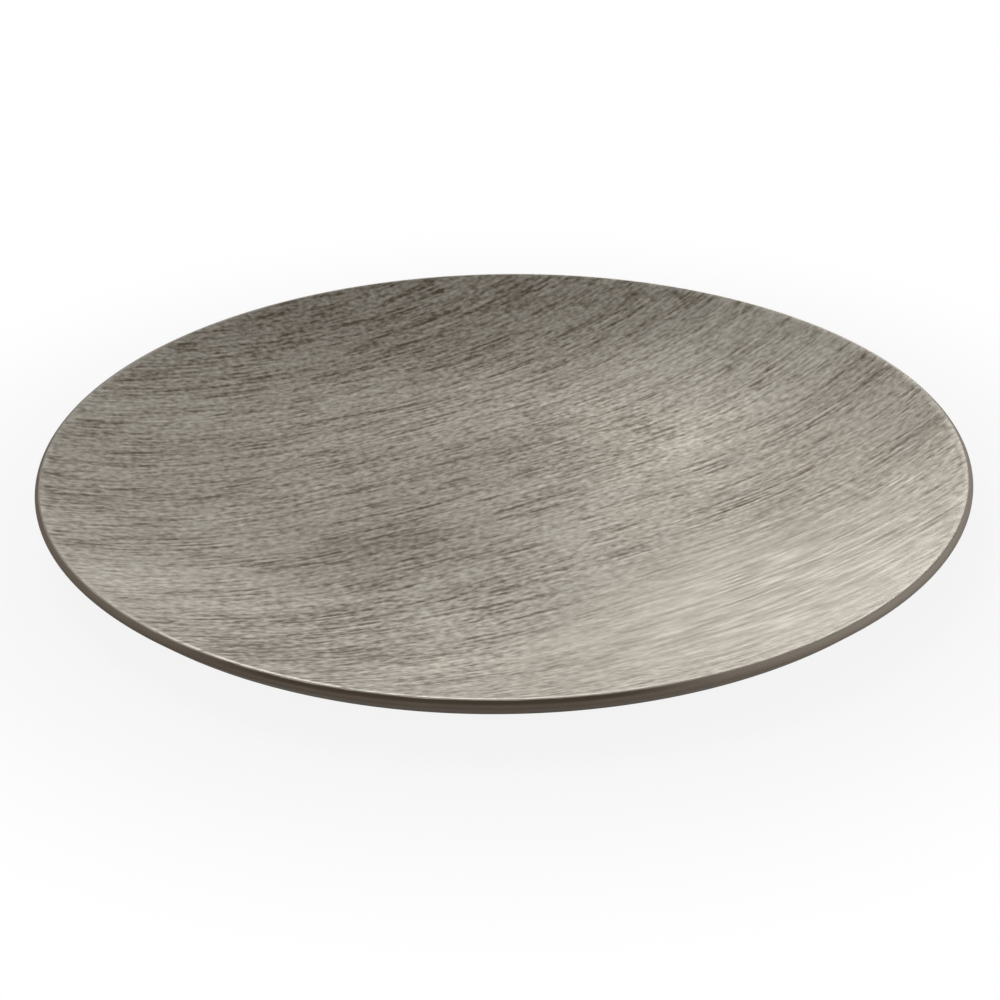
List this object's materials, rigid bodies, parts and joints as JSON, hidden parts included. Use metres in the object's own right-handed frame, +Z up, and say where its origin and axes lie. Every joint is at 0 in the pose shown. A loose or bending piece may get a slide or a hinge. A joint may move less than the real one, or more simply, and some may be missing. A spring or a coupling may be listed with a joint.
{
  "type": "charger plate",
  "caption": "Round shallow serving dish with a flat floor, curved wall, bevelled rim and brushed metallic upper face, standing on small rubber feet.",
  "frame": {"origin": "on the plate's axis, in the plane that the rubber feet stand on", "axes": "+Z up along the plate's axis, -Y towards the viewer of the picture, +X to the viewer's right"},
  "size_m": [0.3299, 0.33, 0.022],
  "materials": {
    "moulded_dish": "satin dark taupe moulding",
    "brushed_coat": "metallic taupe-silver lacquer with curved brush strokes, satin",
    "foot_rubber": "matt dark rubber"
  },
  "bodies": {
    "root": {"plate_body": "moulded_dish", "brushed_face": "brushed_coat", "rubber_foot_back_right": "foot_rubber", "rubber_foot_back_left": "foot_rubber", "rubber_foot_front_left": "foot_rubber", "rubber_foot_front_right": "foot_rubber"}
  },
  "joints": []
}
